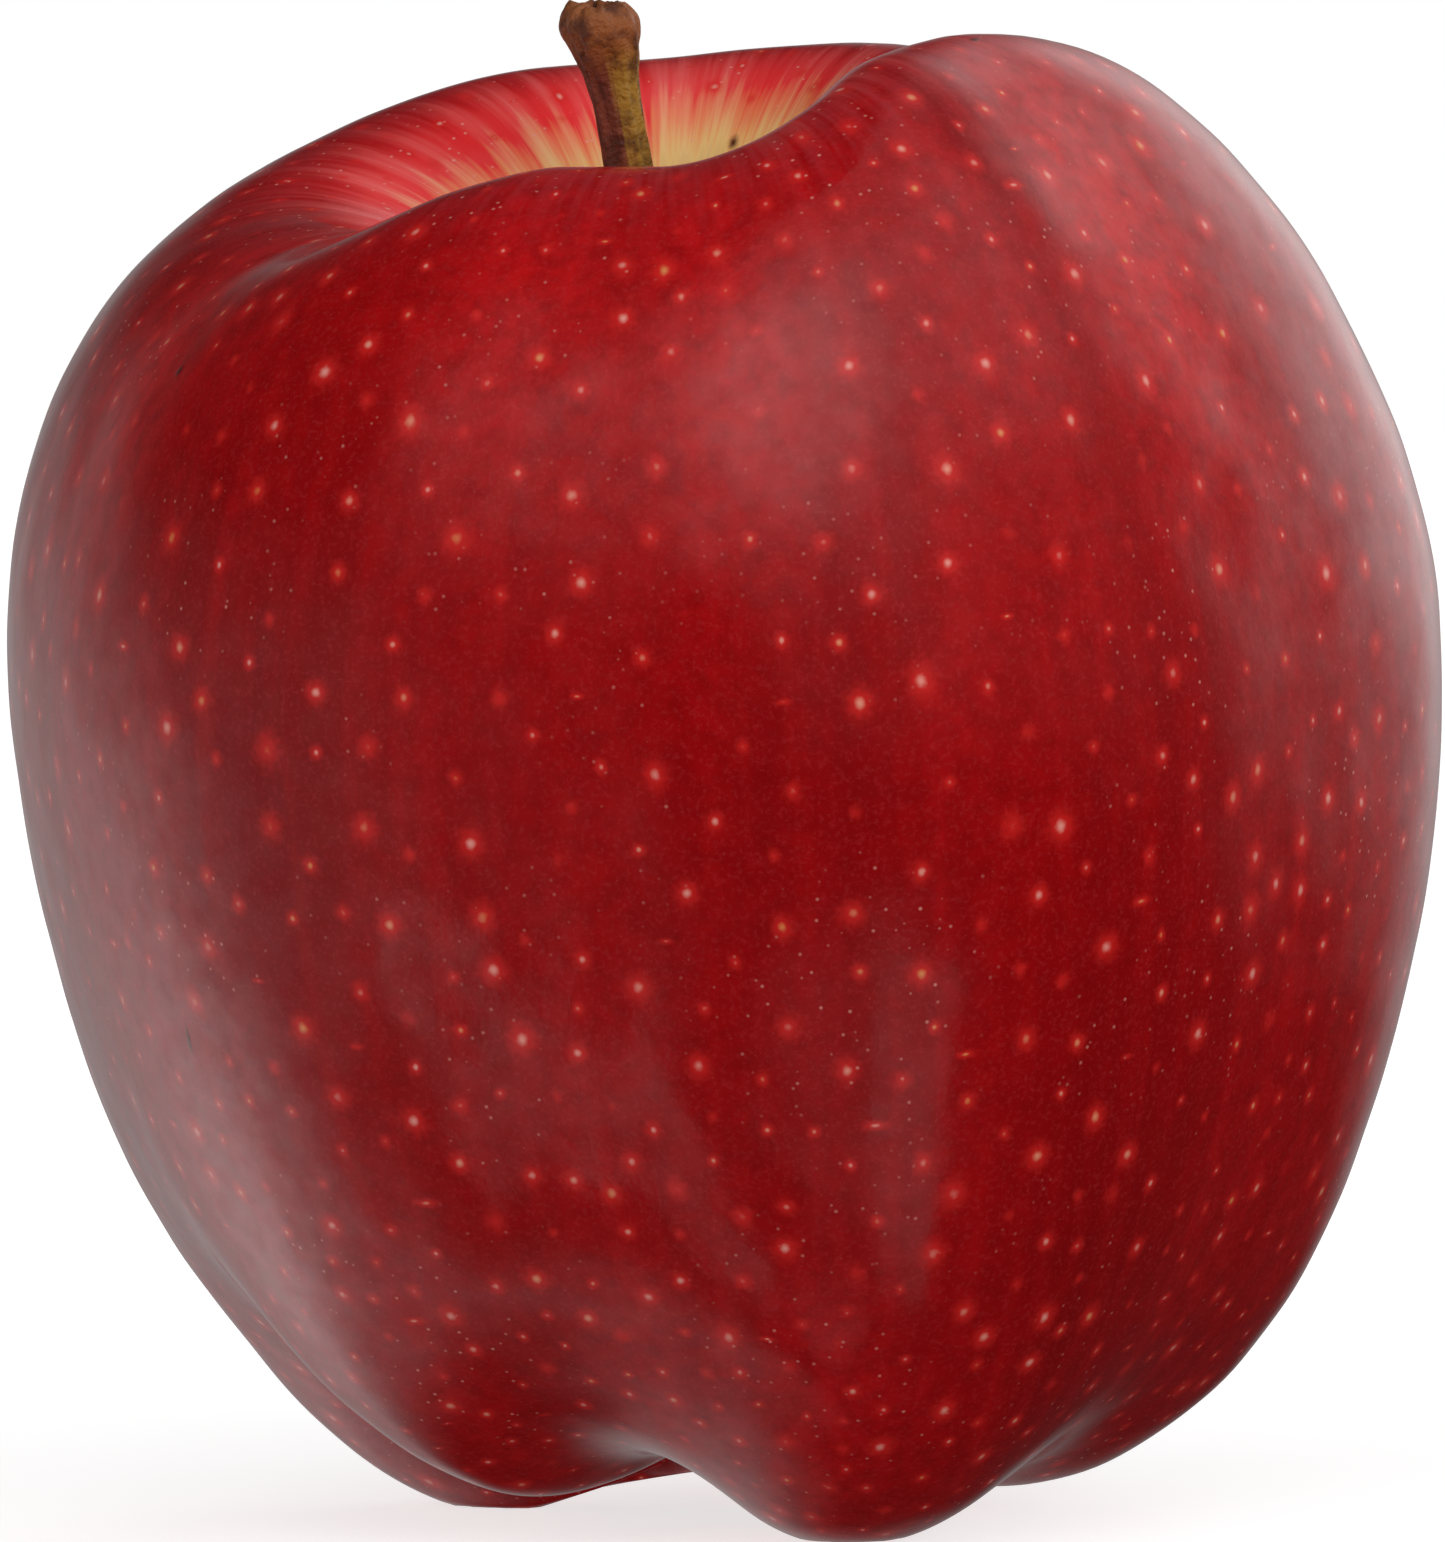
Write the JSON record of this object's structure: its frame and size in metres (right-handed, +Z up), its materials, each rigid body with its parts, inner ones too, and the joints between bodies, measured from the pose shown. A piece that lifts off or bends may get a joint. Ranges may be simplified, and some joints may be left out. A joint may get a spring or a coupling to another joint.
{
  "type": "apple",
  "caption": "Whole red eating apple with lobed base, stalk cavity, short curved stalk and dried sepals in the basin; stands on its lobe tips.",
  "frame": {"origin": "centre of the fruit's bounding box on the surface it stands on", "axes": "+Z up, +X to the right and -Y towards the viewer when the low near shoulder faces the viewer"},
  "size_m": [0.0818, 0.0788, 0.0871],
  "materials": {
    "skin": "waxy red apple skin with pale dots and faint streaks, satin to glossy",
    "stalk": "woody stalk bark, brown on one side and olive green on the other, matt",
    "sepal": "dried, downy brown-green sepal, matt",
    "stamen": "withered dark brown stamens, matt"
  },
  "bodies": {
    "root": {"fruit": "skin", "stalk": "stalk", "sepal_1": "sepal", "sepal_2": "sepal", "sepal_3": "sepal", "sepal_4": "sepal", "sepal_5": "sepal", "stamens": "stamen"}
  },
  "joints": []
}
